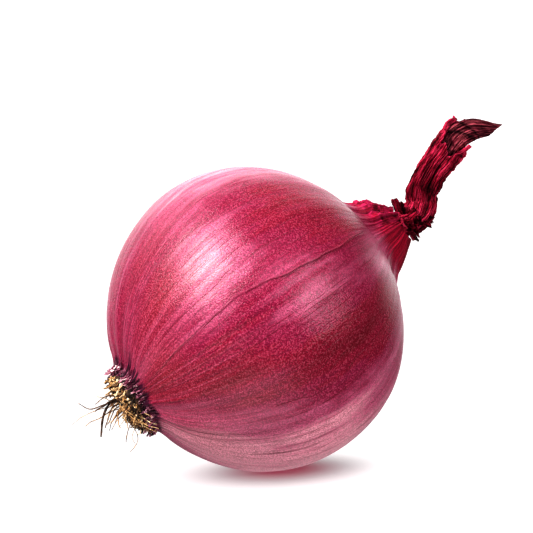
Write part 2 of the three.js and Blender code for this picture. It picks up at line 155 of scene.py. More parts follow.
# Root strands: radius, tone, and a path from the plate's middle as (right, up, toward the camera)
STRANDS = [
    (0.36, 0, [(-1, 1.1, 0), (-2.9, 0.9, 0.8), (-4.3, -0.8, 1.2), (-5.2, -4, 1.4), (-5.5, -7.6, 1.2)]),
    (0.28, 0.05, [(-1, 1.6, 0), (-2.7, 1.3, 0.9), (-4.8, 0.1, 1.6), (-6.9, -1.4, 2.2)]),
    (0.18, 0.2, [(-1.2, 1.1, 0), (-3.4, 0.6, 0.3), (-5.8, -0.1, 0.2), (-8.4, -0.8, 0), (-11.1, 0.4, -0.4)]),
    (0.12, 0.55, [(-1.9, 0.9, 0), (-3.6, 1.3, 0.5), (-5.1, 2, 0.7), (-6.7, 2.1, 0.6)]),
    (0.14, 0.4, [
        (-1.4, -0.8, 0), (-3.4, -1.5, 0.8), (-5.3, -2.7, 1.2), (-7.5, -3.7, 1.4), (-9.4, -4.9, 1.2),
    ]),
    (0.2, 0.2, [(-1.4, 0.4, 0), (-2.7, -0.3, 1.2), (-3.6, -2.5, 1.9), (-4.3, -5.2, 2.2)]),
    (0.15, 0.3, [(-1.2, -0.1, 0), (-2.4, -1.1, 0.9), (-3.1, -3, 1), (-3.9, -4.4, 0.8)]),
    (0.09, 0.5, [
        (-1.4, 0.4, 0), (-4.8, -0.6, -0.3), (-7.5, -1.5, -0.8), (-10.1, -2.7, -1), (-13, -4.9, -1),
    ]),
    (0.16, 0.5, [(-0.7, -0.6, 1), (-1.4, -2, 2), (-1.2, -4, 2.3), (-0.7, -5.2, 2.2)]),
    (0.15, 0.55, [(0, -1.5, 2), (0.7, -3.5, 3.4), (1.2, -5.2, 3.5)]),
    (0.16, 0.5, [(-0.5, -1.1, 1.4), (-1.9, -2.3, 1.8), (-2.7, -3.7, 1.8), (-3.6, -3.7, 1.4)]),
    (0.2, 0.6, [(-1, -0.1, 1.2), (1.4, -1.5, 3.4), (4.3, -3.5, 5), (6.7, -4.7, 5.4), (8.7, -5.4, 5.2)]),
    (0.17, 0.5, [(-0.5, -0.8, 1.5), (2.2, -2.7, 3.6), (5.3, -4.7, 4.9), (8, -6, 4.9)]),
    (0.18, 0.68, [(0.5, -0.3, 2.4), (3.4, -2, 5), (6.3, -3.5, 5.9), (8.2, -4.2, 6)]),
    (0.16, 0.3, [(0.2, -1.6, 2.2), (2.9, -3.8, 4.2), (5.6, -5.6, 4.6), (7, -6.2, 4.4)]),
    (0.15, 0.62, [(1.2, 0.6, 3.2), (3, -0.6, 5.2), (5.6, -1.6, 6.6), (7, -2.6, 6.7)]),
]

CROWN_FLAKES = 300
RIDGE_FLAKES = 170
MAT_STUBS = 300
HAIR_FIBRES = 12

# How finely the visible skin is made
SKIN_COLUMNS = 640
SHEATH_COLUMNS = 480

# The photograph's view
VIEW_AZIMUTH = math.radians(-23)
VIEW_ELEVATION = math.radians(10)
VIEW_DISTANCE = 480.0
IMAGE_SIZE = 533
BULB_PIXEL = (255, 319)  # where the bulb's centre falls
BULB_PIXEL_RADIUS = 154.5

# The studio's light
SURROUND_FRONT = 0.05
SURROUND_BACK = 2.6
SURROUND_SHOULDER = 2.2
SURROUND_BELOW = 0.45
FLOOR_TONE = 0.45
FLOOR_GLOW = 0.98
# A contact shadow painted into the floor's glow: its red core, painted as bounce from the bulb, how far the
# shadow and the red reach, its middle, and how much it is narrowed along y
PAINTED_SHADOW_RED = (0.20, 0.02, 0.04)
PAINTED_SHADOW_REACH = (0.002, 0.031)  # metres from the shadow's middle
PAINTED_SHADOW_RED_REACH = (0.003, 0.018)
PAINTED_SHADOW_MIDDLE = (0.0026, -0.0075)
PAINTED_SHADOW_SQUASH = 1.55
BACKDROP_RADIUS = 60.0
BACKDROP_GLOW = 1.06
FLOOR_HALF = 40.0
FLOOR_DROP = 0.00005  # keeps it off the resting spot
# Soft lights on the onion: way to it as (right, up, toward the camera), strength, width in degrees
LIGHTS = [
    ("key", (-0.62, 0.615, 0.485), 8.8, 32), ("fill", (0.72, 0.28, 0.62), 3.4, 26),
    ("top", (-0.3, 1.0, 0.1), 1.6, 110), ("bounce", (-0.1, -0.92, 0.38), 2.8, 60),
]
GROUND_LIGHT = ("overhead", (-0.35, 1.0, 0.1), 0.5, 110)
CONTRAST = 0.77  # a camera's tone curve: below 1 it deepens the darks


def smooth(low, high, value):
    t = np.clip((value - low) / (high - low), 0, 1)
    return t * t * (3 - 2 * t)


def unit(vector):
    return vector / np.linalg.norm(vector, axis=-1, keepdims=True)


def bell(off, width):
    return np.exp(-((off / width) ** 2))


def run_length(points):
    """How far along a path each of its points is."""
    return np.concatenate([[0], np.cumsum(np.linalg.norm(np.diff(points, axis=0), axis=1))])


def turns(count):
    """Angles evenly round a turn."""
    return np.linspace(0, TURN, count, endpoint=False)


def outward(angle):
    return np.array((math.cos(angle), math.sin(angle), 0))


def waves(points, seed, size, count=8):
    """A smooth random field of about -1 to 1 whose features are about size across."""
    rng = np.random.default_rng(seed)
    total = np.zeros(points.shape[:-1])
    for _ in range(count):
        direction = unit(rng.normal(size=points.shape[-1]))
        pitch = size * rng.uniform(0.6, 1.7)
        total += np.sin(points @ direction * (TURN / pitch) + rng.uniform(0, TURN))
    return total / math.sqrt(count)


def valley(phase):
    """1 in narrow valleys at odd multiples of pi, near 0 elsewhere."""
    return (1 - np.abs(np.cos(phase / 2))) ** 3


centre_height = (
    math.hypot(BULB_RADIUS * math.cos(AXIS_RISE), ROOT_HALF_LENGTH * math.sin(AXIS_RISE))
    - FLAT_DEPTH
)
spot_offset = (
    (BULB_RADIUS**2 - ROOT_HALF_LENGTH**2) * math.sin(AXIS_RISE) * math.cos(AXIS_RISE)
    / (centre_height + FLAT_DEPTH)
)
BULB_CENTRE = np.array((-spot_offset, 0, centre_height))
_tilt = math.pi / 2 - AXIS_RISE
TILT = np.array([
    (math.cos(_tilt), 0, math.sin(_tilt)),
    (0, 1, 0),
    (-math.sin(_tilt), 0, math.cos(_tilt)),
])
DOWN = TILT.T @ np.array((0, 0, -1.0))
PINCH = TILT @ np.array((0, 0, COLLAR_TOP_Z)) + BULB_CENTRE

# The photograph's right, up and way toward the camera
right = np.array((math.cos(VIEW_AZIMUTH), math.sin(VIEW_AZIMUTH), 0))
toward = np.array((
    math.sin(VIEW_AZIMUTH) * math.cos(VIEW_ELEVATION),
    -math.cos(VIEW_AZIMUTH) * math.cos(VIEW_ELEVATION),
    math.sin(VIEW_ELEVATION),
))
upward = np.cross(toward, right)


def laid(points):
    """From the bulb's own frame to the part's."""
    return points @ TILT.T + BULB_CENTRE


def placed(name, data):
    obj = bpy.data.objects.new(name, data)
    bpy.context.scene.collection.objects.link(obj)
    return obj


class Shape:
    """Gathers closed tubes into one mesh, with a value or vector field on their points."""

    def __init__(self):
        self.points = []
        self.faces = []
        self.fields = []
        self.count = 0

    def tube(self, grid, **fields):
        rows, cols = grid.shape[:2]
        full = {k: np.broadcast_to(v, grid.shape[:2] + np.shape(v)[2:]) for k, v in fields.items()}
        ends = lambda values: np.stack([values[0].mean(0), values[-1].mean(0)])
        self.points.append(np.concatenate([grid.reshape(-1, 3), ends(grid)]))
        self.fields.append({
            k: np.concatenate([v.reshape((-1,) + v.shape[2:]), ends(v)]) for k, v in full.items()
        })
        i, j = np.meshgrid(np.arange(rows - 1), np.arange(cols), indexing="ij")
        a = (i * cols + j).ravel() + self.count
        b = (i * cols + (j + 1) % cols).ravel() + self.count
        self.faces += np.stack([a, b, b + cols, a + cols], -1).tolist()
        first = self.count + rows * cols
        ring = np.arange(cols)
        turned = (ring + 1) % cols
        top = self.count + (rows - 1) * cols
        low = np.stack([np.full(cols, first), turned + self.count, ring + self.count], -1)
        high = np.stack([np.full(cols, first + 1), top + ring, top + turned], -1)
        self.faces += low.tolist() + high.tolist()
        self.count += rows * cols + 2

    def make(self, name, material, replaced=()):
        mesh = bpy.data.meshes.new(name)
        mesh.from_pydata((np.concatenate(self.points) * MM).tolist(), [], self.faces)
        for key in self.fields[0]:
            values = np.concatenate([f[key] for f in self.fields]).astype(np.float32)
            vector = values.ndim == 2
            attribute = mesh.attributes.new(key, "FLOAT_VECTOR" if vector else "FLOAT", "POINT")
            attribute.data.foreach_set("vector" if vector else "value", values.ravel())
        work = bmesh.new()
        work.from_mesh(mesh)
        bmesh.ops.recalc_face_normals(work, faces=work.faces)
        work.to_mesh(mesh)
        work.free()
        mesh.polygons.foreach_set("use_smooth", [True] * len(mesh.polygons))
        mesh.materials.append(material)
        obj = placed(name, mesh)
        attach(obj, "root")
        if replaced:
            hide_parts(*replaced)
        return obj


def round_tube(path, radii, sides):
    """Rings round a path, as a grid."""
    tangent = unit(np.gradient(path, axis=0))
    side = unit(np.cross(np.array((0.3, 1, 0.2)), tangent))
    other = np.cross(tangent, side)
    angle = np.arange(sides) / sides * TURN
    ring = np.cos(angle)[:, None] * side[:, None] + np.sin(angle)[:, None] * other[:, None]
    return path[:, None] + ring * np.asarray(radii)[:, None, None]


def blade(middle, across, normal, half_width, thickness, lift=None, run=None):
    """A thin strip as a closed grid. lift moves it along its normal, run along its length."""
    columns = 9
    u = np.linspace(-1, 1, columns)
    sheet = middle[:, None] + across[:, None] * (u * half_width[:, None])[..., None]
    if lift is not None:
        sheet = sheet + normal[:, None] * lift[..., None]
    if run is not None:
        sheet = sheet + run
    edge = (1 - 0.75 * np.abs(u) ** 3)[None, :, None]
    half = normal[:, None] * (thickness / 2) * edge
    return np.concatenate([sheet + half, (sheet - half)[:, ::-1]], axis=1)


# Materials

def add(tree, kind, inputs=None, **settings):
    node = tree.nodes.new(kind)
    for key, value in settings.items():
        setattr(node, key, value)
    for key, value in (inputs or {}).items():
        if isinstance(value, bpy.types.NodeSocket):
            tree.links.new(value, node.inputs[key])
        else:
            node.inputs[key].default_value = value
    return node


def new_material(name, **shader):
    material = bpy.data.materials.new(name)
    material.use_nodes = True
    tree = material.node_tree
    principled = tree.nodes["Principled BSDF"]
    for key, value in shader.items():
        principled.inputs[key.replace("_", " ")].default_value = value
    return material, tree, principled


def feed(shader, name, value):
    value.id_data.links.new(value, shader.inputs[name])


def field(tree, name, output="Fac"):
    return add(tree, "ShaderNodeAttribute", attribute_name=name).outputs[output]


# The helpers below add their nodes to the tree of the sockets they are given.

def noise(vector, scale, detail=2.0, stretch=(1, 1, 1), roughness=0.5, distortion=0.0):
    tree = vector.id_data
    mapping = add(tree, "ShaderNodeMapping", {"Vector": vector, "Scale": stretch})
    return add(tree, "ShaderNodeTexNoise", {
        "Vector": mapping.outputs[0], "Scale": scale, "Detail": detail,
        "Roughness": roughness, "Distortion": distortion,
    }).outputs["Fac"]


def ramp(value, low, high, start=0.0, end=1.0):
    return add(value.id_data, "ShaderNodeMapRange", {
        "Value": value, "From Min": low, "From Max": high, "To Min": start, "To Max": end,
    }, interpolation_type="SMOOTHSTEP").outputs["Result"]


def math_node(operation, a, b=0.0):
    return add(a.id_data, "ShaderNodeMath", {0: a, 1: b}, operation=operation).outputs[0]


def plus(total, *values):
    for value in values:
        total = math_node("ADD", total, value)
    return total


def times(a, b):
    return math_node("MULTIPLY", a, b)


def mixed(factor, a, b, blend="MIX"):
    is_socket = lambda v: isinstance(v, bpy.types.NodeSocket)
    as_colour = lambda c: c if is_socket(c) else (*c, 1.0)
    tree = (factor if is_socket(factor) else a).id_data
    return add(tree, "ShaderNodeMix", {
        0: factor, 6: as_colour(a), 7: as_colour(b),
    }, data_type="RGBA", blend_type=blend).outputs[2]


def bumped(principled, height, strength, distance_mm):
    bump = add(height.id_data, "ShaderNodeBump", {
        "Height": height, "Strength": strength, "Distance": distance_mm * MM,
    })
    feed(principled, "Normal", bump.outputs[0])


def veins(around, along, wander, spacing, length, half_width):
    """Broken thin lines that run lengthwise: 1 in a line's middle, 0 off it."""
    lane = plus(math_node("DIVIDE", around, spacing), wander)
    cell = math_node("FLOOR", lane)
    luck = lambda value: add(
        value.id_data, "ShaderNodeTexWhiteNoise", {"W": value}, noise_dimensions="1D").outputs["Value"]
    place = ramp(luck(plus(cell, 0.3)), 0, 1, 0.2, 0.8)
    shift = times(luck(plus(cell, 0.7)), 7.3)
    run = plus(math_node("DIVIDE", along, length), shift)
    drawn = luck(plus(times(cell, 17.13), math_node("FLOOR", run)))
    share = math_node("FRACT", run)
    ends = times(ramp(share, 0, 0.25), ramp(share, 1, 0.75))
    off = math_node("SUBTRACT", math_node("FRACT", lane), place)
    line = ramp(math_node("ABSOLUTE", off), 0, half_width / spacing, 1, 0)
    return times(line, times(ramp(drawn, 0.45, 0.55), ends))


def skin_material(name, gloss_level):
    material, tree, shader = new_material(name, IOR=1.22, Specular_IOR_Level=gloss_level)
    grain = field(tree, "grain", "Vector")
    shade = field(tree, "shade")
    lap = field(tree, "lap")
    around = field(tree, "around")
    along = add(tree, "ShaderNodeSeparateXYZ", {0: grain}).outputs[2]
    fibres = noise(grain, 1.5, 5, (1, 1, 0.03), 0.62)
    lines = noise(grain, 0.42, 4, (1, 1, 0.05), 0.6)
    bands = noise(grain, 0.09, 3, (1, 1, 0.35), 0.55, 0.4)
    blotch = noise(grain, 0.3, 4, (1, 1, 0.5), 0.6)
    place = add(tree, "ShaderNodeTexCoord").outputs["Object"]
    speckle = noise(place, 2700, 1, roughness=0.7)
    streaky = math_node("MAXIMUM", ramp(along, -2, -26), ramp(shade, 0.4, 0.1))

    depth = plus(
        shade, ramp(bands, 0.35, 0.65, -0.08, 0.08),
        ramp(blotch, 0.3, 0.7, -0.06, 0.06), ramp(lines, 0.3, 0.7, -0.08, 0.08),
        ramp(speckle, 0.32, 0.68, -0.05, 0.05),
    )
    colour = PALE_SKIN
    for low, high, tone in SKIN_TONES:
        colour = mixed(ramp(depth, low, high), colour, tone)
    colour = mixed(field(tree, "warm"), colour, (0.22, 0.020, 0.024))
    light_fibres = times(ramp(fibres, 0.5, 0.72, 0.0, 0.6), streaky)
    colour = mixed(light_fibres, colour, (0.37, 0.07, 0.125))
    dark_fibres = times(ramp(fibres, 0.5, 0.3, 0.0, 0.7), streaky)
    colour = mixed(dark_fibres, colour, (0.10, 0.002, 0.018))
    colour = mixed(1.0, colour, ramp(speckle, 0.38, 0.62, 0.68, 1.3), "MULTIPLY")
    colour = mixed(ramp(speckle, 0.5, 0.66, 0.0, 0.085), colour, (0.66, 0.34, 0.44))

    wander = ramp(noise(grain, 0.045, 2), 0.2, 0.8, -0.6, 0.6)
    vein = plus(
        veins(around, along, wander, 4.3, 19.0, 0.19), veins(around, along, wander, 2.7, 9.0, 0.14))
    colour = mixed(times(vein, 0.75), colour, LINE_TONE)

    # the lap's edge: a dark line of painted shade in its step, under a pale rim painted as highlight
    uneven = ramp(noise(grain, 0.5, 3), 0.35, 0.65, 0.3, 1.0)
    edge = times(ramp(math_node("ABSOLUTE", lap), 0.0, 0.17, 1.0, 0.0), uneven)
    from_rim_highlight = math_node("ABSOLUTE", math_node("SUBTRACT", lap, 0.4))
    colour = mixed(ramp(from_rim_highlight, 0.0, 0.25, 0.2, 0.0), colour, (0.45, 0.13, 0.18))
    colour = mixed(times(edge, 0.75), colour, LINE_TONE)

    # the gathered collar and the puckers at the crown
    collar = ramp(along, 33.0, 38.0)
    threads = ramp(fibres, 0.35, 0.7)
    collar_tone = mixed(threads, (0.10, 0.0005, 0.008), (0.42, 0.003, 0.034))
    colour = mixed(times(collar, 0.9), colour, collar_tone)
    # a brighter magenta on the collar's upper side, strongest on its crumples' crests: painted highlight
    colour = mixed(field(tree, "magenta"), colour, (0.36, 0.016, 0.08))
    # painted shade: near black in the collar's folds and the hollows of its crumples
    colour = mixed(times(field(tree, "crease"), 0.85), colour, (0.02, 0.0005, 0.003))
    # painted shade in the puckers at the crown: dark purple up to each pucker's reach
    pucker = ramp(noise(grain, 0.42, 2, (1, 1, 0.02), 0.6), 0.4, 0.6, 1.0, 0.0)
    reach = math_node("SUBTRACT", along, times(pucker, field(tree, "withered")))
    colour = mixed(ramp(reach, -34.9, -35.8, 0.0, 0.94), colour, (0.030, 0.001, 0.014))
    feed(shader, "Base Color", colour)

    gloss = plus(ramp(speckle, 0.3, 0.7, 0.29, 0.41), ramp(collar, 0, 1, 0, 0.25))
    feed(shader, "Roughness", gloss)
    height = plus(times(fibres, 0.25), times(speckle, 1.5), times(lines, 0.8))
    bumped(shader, math_node("SUBTRACT", height, times(vein, 0.35)), 0.7, 0.12)
    return material


def dry_material(name, dark, mid, light, roughness, grain_scale):
    """Dry leaf: lengthwise fibres between three colours, with painted shade in its creases."""
    material, tree, shader = new_material(name, IOR=1.2, Specular_IOR_Level=0.14)
    grain = field(tree, "grain", "Vector")
    fibres = noise(grain, grain_scale, 5, (1, 1, 0.05), 0.7, 0.3)
    patches = noise(grain, grain_scale * 0.22, 3, (1, 1, 0.4), 0.55)
    level = plus(
        ramp(fibres, 0.36, 0.64, -0.38, 0.38), ramp(patches, 0.35, 0.65, -0.15, 0.15), field(tree, "tone"))
    colour = mixed(ramp(level, 0.15, 0.5), dark, mid)
    colour = mixed(ramp(level, 0.5, 0.95), colour, light)
    # painted shade in the creases
    colour = mixed(field(tree, "crease"), colour, tuple(0.1 * c for c in dark))
    feed(shader, "Base Color", colour)
    feed(shader, "Roughness", ramp(fibres, 0.3, 0.7, roughness + 0.1, roughness - 0.08))
    bumped(shader, fibres, 1.0, 0.2)
    return material


def speck_material(name, colours, roughness, size, bump):
    """Matt stuff whose pieces each have their own tone, between the given colours."""
    material, tree, shader = new_material(name, Specular_IOR_Level=0.3, Roughness=roughness)
    where = add(tree, "ShaderNodeTexCoord").outputs["Object"]
    mottle = noise(where, 1000 / size, 3, roughness=0.6)
    level = plus(field(tree, "tone"), ramp(mottle, 0.3, 0.7, -0.16, 0.16))
    steps = len(colours) - 1
    colour = colours[0]
    for k in range(steps):
        colour = mixed(ramp(level, k / steps, (k + 1) / steps), colour, colours[k + 1])
    feed(shader, "Base Color", colour)
    bumped(shader, mottle, bump, 0.2)
    return material


SKIN = skin_material("onion_skin", 0.95)
COLLAR = skin_material("collar_skin", 0.35)
NECK = dry_material(
    "neck_skin", (0.022, 0.0002, 0.002), (0.17, 0.0012, 0.014), (0.48, 0.03, 0.085), 0.45, 3.2)
LEAF = dry_material(
    "leaf_skin", (0.012, 0.0012, 0.003), (0.10, 0.004, 0.016), (0.40, 0.085, 0.11), 0.5, 3.2)
# the near-black end of the root colours serves the dark strands and, on the plate and the darkest stubs,
# painted shade
ROOTS = speck_material("dry_root", [
    (0.015, 0.006, 0.003), (0.09, 0.035, 0.014), (0.42, 0.23, 0.085), (0.88, 0.68, 0.44)], 0.7, 0.45, 0.6)
FLAKES = speck_material("crown_flake", [
    (0.03, 0.002, 0.012), (0.16, 0.015, 0.05), (0.46, 0.17, 0.24), (0.85, 0.62, 0.62)], 0.5, 0.5, 0.4)


# The bulb's skin

def bezier(a, b, c, count):
    t = np.linspace(0, 1, count)[:, None]
    a, b, c = (np.array(p, float) for p in (a, b, c))
    return (1 - t) ** 2 * a + 2 * t * (1 - t) * b + t * t * c


def outline():
    """The skin's outline as (radius, z), from the dish round the crown and the body to the inside of
    the collar, with how much of the relief each point takes."""
    start = math.asin(BODY_ROOT_Z / ROOT_HALF_LENGTH)
    end = math.asin(BODY_NECK_Z / NECK_HALF_LENGTH)
    body_start = (BULB_RADIUS * math.cos(start), BODY_ROOT_Z)
    body_end = (BULB_RADIUS * math.cos(end), BODY_NECK_Z)
    low = np.linspace(start, 0, 400)
    high = np.linspace(0, end, 400)
    outside = np.concatenate([
        bezier((CROWN_RADIUS, CROWN_Z), CROWN_CURVE, body_start, 80),
        np.stack([BULB_RADIUS * np.cos(low), ROOT_HALF_LENGTH * np.sin(low)], -1),
        np.stack([BULB_RADIUS * np.cos(high), NECK_HALF_LENGTH * np.sin(high)], -1),
        bezier(body_end, COLLAR_BASE, COLLAR_JOIN, 80),
        bezier(COLLAR_JOIN, COLLAR_CURVE, (COLLAR_TOP_RADIUS, COLLAR_TOP_Z), 80),
    ])
    length = run_length(outside)
    share = np.linspace(0, 1, 300)
    at = length[-1] * (share - 0.09 * np.sin(TURN * share) / TURN * 2)
    outside = np.stack([np.interp(at, length, outside[:, k]) for k in (0, 1)], -1)
    dish = [(1.5, DISH_Z), (DISH_RADIUS - 0.4, DISH_Z)]
    dish += [(DISH_RADIUS, DISH_Z - 0.3), (DISH_RADIUS, CROWN_Z + 0.1)]
    collar_inside = [(4.3, 44.1), (3.6, 43.6), (2.6, 42.6), (1.0, 42.0)]
    points = np.concatenate([dish, outside, collar_inside])
    weight = np.concatenate([np.zeros(4), np.ones(len(outside)), (0.8, 0.5, 0.2, 0.0)])
    return points, weight


def skin_relief(angle, z):
    """The part's own relief: ribs, lobes, the lap, and the pleats at both ends."""
    toward_neck = smooth(26, 41, z)
    toward_roots = 1 - smooth(-36.5, -28, z)
    rib_height = 0.14 + 0.6 * toward_neck + 0.35 * toward_roots
    rib = np.cos(SKIN_RIBS * angle + 0.7 * np.sin(2 * angle + z / 30))
    uneven = 0.75 + 0.25 * np.cos(5 * angle + 1.3)
    body = 1 - np.maximum(toward_neck, toward_roots)
    lobe = np.cos(2 * angle + 0.8) * 0.6 + np.cos(3 * angle + 2.1) * 0.4
    lap = (1 - 0.35) * np.maximum(0, 1 - before_lap(angle, z) / LAP_FADE) ** 2
    above = 0.5 - 0.5 * np.cos(angle)
    slim = above * np.sin(np.pi * np.clip(-z / ROOT_HALF_LENGTH, 0, 1))
    hump = COLLAR_HUMP * above**2 * smooth(34.5, 39, z) * (1 - smooth(40, 44, z))
    swell = 0.2 * lobe + LAP_HEIGHT * lap - 0.6 * slim
    return rib_height * rib * uneven + body * swell + hump


def before_lap(angle, z):
    wobble = 0.004 * np.sin(z / 1.3) + 0.005 * np.sin(z / 2.9 + 1)
    return np.mod(LAP_ANGLE + 0.04 * np.sin(z / 9) + wobble - angle, TURN)


def spots(items, degrees, z):
    """Rounded patches of the given amounts on the skin, one by one."""
    for amount, middle, at, wide, tall in items:
        off = (degrees - middle + 180) % 360 - 180
        yield amount * np.exp(-((off / wide) ** 2) - ((z - at) / tall) ** 2)


def make_skin():
    points, weight = outline()
    # columns crowd round the lap's edge, so that its step is crisp
    even = turns(SKIN_COLUMNS)
    near = bell((even - LAP_ANGLE + np.pi) % TURN - np.pi, 0.12)
    step = 1 / (1 + 3 * near)
    angle = np.concatenate([[0], np.cumsum(step)[:-1]]) / step.sum() * TURN
    z = points[:, 1][:, None]
    theta = angle[None, :]
    circle = np.stack([np.cos(theta), np.sin(theta)], -1)[0]
    grain = np.concatenate([
        np.broadcast_to(circle * BULB_RADIUS, (len(points), len(angle), 2)),
        np.broadcast_to(z[..., None], (len(points), len(angle), 1)),
    ], -1)
    relief = skin_relief(theta, z)
    toward_neck = smooth(24, 40, z)
    toward_roots = 1 - smooth(-36.5, -26, z)
    rng = np.random.default_rng(11)
    fine = np.zeros(relief.shape)
    for pitch in (37, 53, 71, 97, 131):
        drift = rng.uniform(0.5, 1.6) * np.sin(z / rng.uniform(14, 26) + rng.uniform(0, TURN))
        fine += np.cos(pitch * theta + rng.uniform(0, TURN) + drift) * rng.uniform(0.6, 1.0)
    relief += fine * (0.011 + 0.10 * toward_neck + 0.07 * toward_roots)
    # folds of the gathered collar: deep narrow valleys that wander as they run up
    wander = 0.9 * np.sin(3 * theta + z / 3.5) + 0.5 * np.sin(7 * theta - z / 2.1)
    gathered = 0.14 + 0.86 * np.maximum(smooth(0.3, 0.95, -np.cos(theta)), smooth(41.5, 44, z))
    fold = valley(23 * theta + wander) * smooth(31, 40, z) * gathered
    fold_two = valley(41 * theta - 1.3 * wander + 1) * smooth(36, 43, z) * gathered
    relief -= 0.7 * fold + 0.4 * fold_two
    upper = smooth(0.1, 1.0, -np.cos(theta))
    crumple = waves(grain * np.array((0.25, 0.25, 1)), 17, 2.2)
    small_crumple = waves(grain * np.array((0.25, 0.25, 1)), 18, 1.0)
    relief += (0.42 * crumple + 0.16 * small_crumple) * smooth(34, 39, z) * upper
    relief += 0.5 * upper * bell(z - 39.5, 2)
    # how far up the puckers at the crown reach, in relief and in their painted shade
    withered = 0.35 + 2.0 * bell(np.degrees(theta) - 203, 32) + 0.3 * np.sin(9 * theta)
    pucker = valley(29 * theta + 0.8 * np.sin(4 * theta)) * (1 - smooth(-36.5, -35.2 + withered, z))
    relief -= 0.4 * pucker
    relief += 0.06 * waves(grain, 5, 14) * (1 - toward_neck)
    degrees = np.degrees(theta) + 2.5 * np.sin(z / 11)
    for ridge in spots(RIDGES, degrees, z):
        relief += ridge
    radius = points[:, 0][:, None] + relief * weight[:, None]
    grid = np.stack([
        radius * np.cos(theta), radius * np.sin(theta), np.broadcast_to(z, radius.shape)
    ], -1)
    # a ragged upper end of the collar
    ragged = 0.5 * waves(grain[:, :, :2] / 6, 8, 1.2) * smooth(40, 44, z) * weight[:, None]
    grid[..., 2] += ragged
    world = laid(grid)
    world[..., 2] = np.maximum(world[..., 2], 0)

    # the skin's tone, with the painted highlight, reflection and floor bounce patches in it
    shade = sum(spots(TONE_AND_PAINTED_LIGHT_PATCHES, degrees, z), np.full(degrees.shape, MIDDLE_SHADE))
    warm = sum(spots(WARM_PATCHES, degrees, z), np.zeros(degrees.shape))
    # painted shade for the collar, in its folds and the hollows of its upper crumples
    dents = smooth(0.15, 1.1, -crumple - 0.6 * small_crumple) * upper * smooth(36, 39, z)
    crease = np.clip(fold + 0.7 * fold_two + 0.8 * dents, 0, 1) * smooth(34, 38, z)
    # painted highlight on the crests of the collar's upper crumples
    crests = smooth(-0.5, 1.0, crumple + 0.7 * small_crumple)
    magenta = smooth(34.5, 37, z) * upper * (0.1 + 0.8 * crests)
    lap = before_lap(theta, z)
    lap = np.where(lap > np.pi, lap - TURN, lap) * BULB_RADIUS
    lap = np.where((z > -34) & (z < 27), lap, 5)
    shape = Shape()
    shape.tube(
        world, grain=grain, shade=np.clip(shade, 0, 1), warm=np.clip(warm, 0, 1),
        crease=crease, lap=lap, around=BULB_RADIUS * theta * np.ones(z.shape),
        withered=withered * np.ones(z.shape), magenta=magenta,
    )
    piece = shape.make("bulb_skin", SKIN, ("bulb",))
    piece.data.materials.append(COLLAR)
    matt = z > 36.2 + 0.5 * np.sin(11 * theta) + 0.3 * np.sin(23 * theta + 1)
    matt = matt | (weight[:, None] == 0) & (z > 0)
    index = np.zeros(len(piece.data.polygons), np.int32)
    index[: matt[:-1].size] = matt[:-1].ravel()
    piece.data.polygons.foreach_set("material_index", index)
    return piece


# The torn crown of skin tips round the plate

def make_crown():
    rng = np.random.default_rng(23)
    shape = Shape()
    for k in range(CROWN_FLAKES):
        theta = (k + rng.uniform(-1.5, 1.5)) / CROWN_FLAKES * TURN
        out = outward(theta)
        side = unit(np.array((-math.sin(theta), math.cos(theta), 0)) + rng.normal(size=3) * 0.25)
        length = rng.uniform(0.5, 1.9) * (1 + 0.35 * math.sin(5 * theta + 1))
        lean = rng.uniform(-0.6, 0.7)
        along = np.linspace(0, 1, 7)
        start = rng.uniform(DISH_RADIUS - 0.3, CROWN_RADIUS + 0.8)
        sunk = CROWN_Z + 1.0 + max(0, start - CROWN_RADIUS) * 0.6
        middle = (
            out * (start + lean * length * along**1.5)[:, None]
            + np.array((0, 0, 1.0)) * (sunk + 0.3 - (length + 0.8) * along)[:, None]
            + side * (rng.uniform(-0.5, 0.5) * along**2)[:, None]
        )
        tangent = unit(np.gradient(middle, axis=0))
        normal = unit(np.cross(tangent, side))
        width = rng.uniform(0.12, 0.5) * (1 - 0.5 * along**1.5)
        u = np.linspace(-1, 1, 9)
        lift = 0.35 * rng.uniform(-1, 1) * u**2 * along[:, None] + 0.07 * rng.normal(size=(7, 9))
        run = tangent[:, None] * (rng.uniform(-0.5, 0.3, (1, 9)) * (along[:, None] > 0.9))[..., None]
        sheet = blade(middle, np.tile(side, (7, 1)), normal, width, 0.16, lift, run)
        tone = rng.choice((0.0, 0.15, 0.35, 0.5, 0.65, 0.8, 1.0))
        shape.tube(laid(sheet), tone=tone * np.clip(0.1 + 1.3 * along, 0, 1)[:, None])

    # dried ridges that lie along the skin, out from the crown
    profile = outline()[0][4:90]
    run = run_length(profile)
    for _ in range(RIDGE_FLAKES):
        theta = rng.uniform(0, TURN)
        near = bell(math.degrees(theta) - 205, 50)
        length = rng.uniform(0.8, 2.0) * (1 + 0.7 * near)
        along = np.linspace(0, 1, 9)
        at = rng.uniform(-0.2, 1.0) + length * along
        turn = theta + rng.uniform(-0.05, 0.05) * along
        radius = np.interp(at, run, profile[:, 0]) + 0.05
        height = np.interp(at, run, profile[:, 1]) - 0.05
        lift = rng.uniform(0.0, 0.35) * (1 - along) ** 2
        radius = radius + lift
        middle = np.stack([radius * np.cos(turn), radius * np.sin(turn), height - lift], -1)
        side = np.stack([-np.sin(turn), np.cos(turn), 0 * turn], -1)
        tangent = unit(np.gradient(middle, axis=0))
        normal = unit(np.cross(side, tangent))
        width = rng.uniform(0.07, 0.22) * np.sqrt(np.clip(1.02 - along, 0.02, 1))
        bend = 0.12 * rng.uniform(-1, 1) * np.linspace(-1, 1, 9)[None, :] * np.ones((9, 1))
        sheet = blade(middle, side, normal, width, 0.14, bend)
        tone = rng.choice((0.0, 0.15, 0.3, 0.5, 0.65)) * (1 - 0.5 * along)[:, None]
        shape.tube(laid(sheet), tone=tone)
    return shape.make("crown_flakes", FLAKES, ("bulb",))


# The root plate, its matted stubs and its roots

